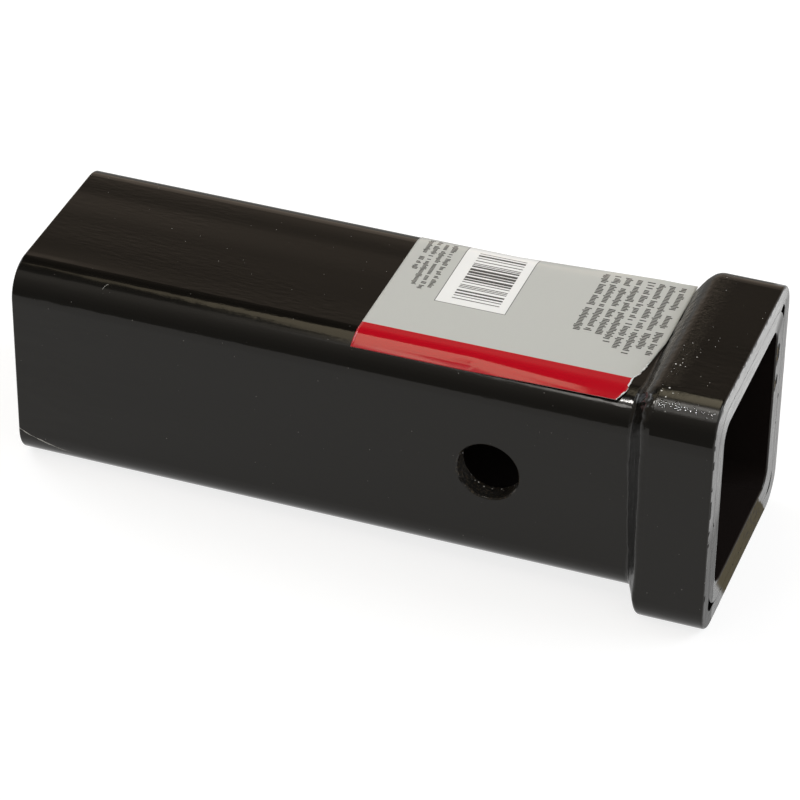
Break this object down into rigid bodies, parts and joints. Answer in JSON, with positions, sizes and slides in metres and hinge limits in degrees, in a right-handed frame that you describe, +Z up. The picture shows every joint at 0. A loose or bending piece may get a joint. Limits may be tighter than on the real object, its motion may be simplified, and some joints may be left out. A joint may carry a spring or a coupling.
{
  "type": "trailer hitch receiver",
  "caption": "Weld-on square receiver tube with a welded reinforcing collar round its mouth, a cross hole for the hitch pin and a wrapped label; takes a ball mount shank.",
  "frame": {"origin": "centre of the mouth, on the tube's axis, in the plane of the flush tube and collar ends", "axes": "+X out of the mouth along the tube, +Z up, the pin hole runs along Y"},
  "size_m": [0.2032, 0.074, 0.074],
  "materials": {
    "black_paint": "gloss black enamel over steel, slight orange peel",
    "label_paper": "coated label stock, grey field with a red edge band and a white patch"
  },
  "bodies": {
    "root": {"receiver_tube": "black_paint", "reinforcing_collar": "black_paint", "collar_weld": "black_paint", "top_label": "label_paper"}
  },
  "joints": []
}
